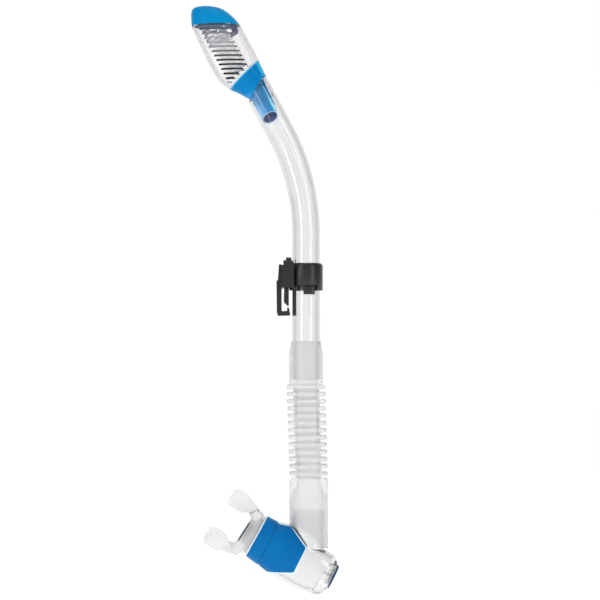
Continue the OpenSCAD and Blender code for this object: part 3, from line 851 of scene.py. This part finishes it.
def band():
    """The blue band up to its seam with the covers, behind a thin clear edge."""
    neck = [*NECK[3:5], [(-33, -15.4), (-33, 15.4), 12.4]]
    for label, material, outline in (
            ("plate", DEEP_BLUE, BAND_EDGE + SEAM),
            ("edge", RIM_CLEAR, [(-50, -20), (-50, 20)] + BAND_EDGE[::-1])):
        piece = make(f"mouth_band_{label}", solid(BAND), material, None, MOUTH, replaces=["mouth_band"],
                     slot="blue_plastic")
        carve(piece, [
            (slab(outline, -25, 25), MOUTH, "INTERSECT"),
            (solid(neck, 0.3), MOUTH, "DIFFERENCE"),
            (solid(HOUSING[:3], 0.1), MOUTH, "DIFFERENCE"),
            (solid([HOUSING_FOOT] + HOUSING[:2], 0.1), MOUTH, "DIFFERENCE"),
        ])
        add_bevel(piece, 0.3)
        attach(piece, "mouth_unit")


def open_left(outline, reach):
    """An outline with its two corners at the seam moved left."""
    first, *middle, last = outline
    return [(first[0] - reach, first[1]), *middle, (last[0] - reach, last[1])]


def cover(side, name):
    """A blue plate inside a thin clear rim."""
    near, far = sorted((side * 2, side * 28))
    for label, material, outline in (
            ("plate", DEEP_BLUE, open_left(inset(COVER_OUTLINE, RIM_W), RIM_W)),
            ("rim", RIM_CLEAR, COVER_OUTLINE)):
        piece = make(f"{name}_{label}", solid(COVER, -0.03), material, None, MOUTH, replaces=[name],
                     slot="blue_plastic")
        tools = [
            (slab(outline, near, far), MOUTH, "INTERSECT"),
            (solid(HOUSING, 0.1), MOUTH, "DIFFERENCE"),
            (upright(-230, -170, 12.45), None, "DIFFERENCE"),
        ]
        if label == "rim":
            hole = open_left(inset(COVER_OUTLINE, RIM_W + 0.02), 3)
            tools.append((slab(hole, near - 1, far + 1), MOUTH, "DIFFERENCE"))
        carve(piece, tools)
        add_bevel(piece, 0.3)
        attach(piece, "mouth_unit")


def tab_solid(side):
    """One bite tab: a paddle with a raised rim at its end."""
    rows = [[(p, MOUTH_MID + side * (mid - half)), (p, MOUTH_MID + side * (mid + half)), thick]
            for p, mid, half, thick in TAB]
    return solid(rows, steps=3, n=48)


def mouthpiece():
    """The soft mouthpiece: a neck over the housing's tube and two bite tabs, melted into one."""
    piece = make("mouthpiece_silicone", solid(NECK, n=64), MOUTH_SILICONE, None, MOUTH,
                 replaces=["mouthpiece"], slot="silicone")
    carve(piece, [
        (tab_solid(1), MOUTH, "UNION"),
        (tab_solid(-1), MOUTH, "UNION"),
        (solid(NECK_HOLE, n=64), MOUTH, "DIFFERENCE"),
        (solid(INLET_ROOM, 0.05, n=64), MOUTH, "DIFFERENCE"),
    ])
    remesh = piece.modifiers.new("remesh", "REMESH")
    remesh.mode = "VOXEL"
    remesh.voxel_size = 0.5 * MM
    relax = piece.modifiers.new("relax", "SMOOTH")
    relax.factor = 0.6
    relax.iterations = 8
    apply_modifiers(piece)
    shade(piece, 80)
    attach(piece, "mouth_unit")


# ---- Stage ----

def camera():
    """The photo's view: from the front, a little below the middle."""
    data = bpy.data.cameras.new("camera")
    cam = bpy.data.objects.new("camera", data)
    bpy.context.scene.collection.objects.link(cam)
    distance = 1.5
    height = 0.4568
    target = Vector((-0.0046, 0, -0.0175))
    cam.location = (target.x, -distance, -0.08)
    cam.rotation_euler = (target - cam.location).to_track_quat("-Z", "Y").to_euler()
    data.sensor_fit = "HORIZONTAL"
    data.angle = 2 * math.atan(height / 2 / distance)
    data.clip_start = 0.05
    bpy.context.scene.camera = cam


def world():
    """White behind and in front of the object, greyer at the sides."""
    studio_world = bpy.data.worlds.new("studio")
    bpy.context.scene.world = studio_world
    studio_world.use_nodes = True
    tree = studio_world.node_tree
    back = tree.nodes["Background"]
    coords = tree.nodes.new("ShaderNodeTexCoord")
    axes = tree.nodes.new("ShaderNodeSeparateXYZ")
    tree.links.new(coords.outputs["Generated"], axes.inputs["Vector"])
    shades = [(-1, 0.95), (-0.96, 0.9), (-0.86, 0.36), (-0.2, 0.3), (0.2, 0.34), (0.56, 0.62), (0.84, 1.0)]
    colour = ramp(tree, axes.outputs["Y"], [
        (y, (grey, grey * 1.005, grey * 1.01)) for y, grey in shades])
    tree.links.new(colour, back.inputs["Color"])
    back.inputs["Strength"].default_value = 1.0


def light(name, at, size, power):
    """A soft rectangular lamp aimed at the object's middle."""
    data = bpy.data.lights.new(name, "AREA")
    data.shape = "RECTANGLE"
    data.size, data.size_y = size
    data.energy = power
    lamp = bpy.data.objects.new(name, data)
    bpy.context.scene.collection.objects.link(lamp)
    lamp.location = at
    lamp.rotation_euler = (-Vector(at)).to_track_quat("-Z", "Y").to_euler()


def floor():
    """A wide white floor, far below the object."""
    bm = bmesh.new()
    bmesh.ops.create_grid(bm, x_segments=8, y_segments=8, size=6000)
    material = coloured_plastic(
        "floor", (0.93, 0.93, 0.93), (0.95, 0.95, 0.95), (0.6, 0.8), grain=20, glow=0.55)
    make("floor", bm, material, None, Matrix.Translation((0, 0, FLOOR_Z)))


def studio():
    """Camera, lights, floor and render settings."""
    camera()
    world()
    light("key", (-0.9, -1.1, 0.5), (0.5, 1.4), 7)
    light("fill", (1.0, -0.9, 0.2), (0.35, 1.4), 5)
    light("top", (0, -0.2, 1.2), (0.8, 0.8), 5)
    floor()
    scene = bpy.context.scene
    scene.view_settings.view_transform = "Standard"
    scene.view_settings.look = "None"
    scene.cycles.use_denoising = True
    scene.cycles.max_bounces = 24
    scene.cycles.transmission_bounces = 20
    scene.cycles.transparent_max_bounces = 16


FINISH = {
    "spigot_seal": SEAL_CLEAR, "air_duct": DUCT_CLEAR, "rocker_pin": STEEL,
    "rocker": DUCT_CLEAR, "float": FOAM, "valve_plug": NAVY, "keeper_liner": BLACK, "keeper_collar": BLACK,
    "clip_frame": BLACK, "clip_gate": BLACK, "button_front": GRIP, "button_back": GRIP,
    "purge_seat": SEAL_CLEAR, "purge_diaphragm": SILICONE, "purge_cover": SLATE,
}


def finish_nodes():
    """New materials on the CAD nodes that stay."""
    for name, material in FINISH.items():
        piece = nodes[name]
        piece.data.materials.clear()
        piece.data.materials.append(material)
        weld = piece.modifiers.new("weld", "WELD")
        weld.merge_threshold = 0.002 * MM
        add_bevel(piece, 0.35 if material in (BLACK, GRIP) else 0.15)


barrel()
cage()
collar()
cap()
hose()
housing()
band()
cover(-1, "front_cover")
cover(1, "back_cover")
mouthpiece()
finish_nodes()
studio()
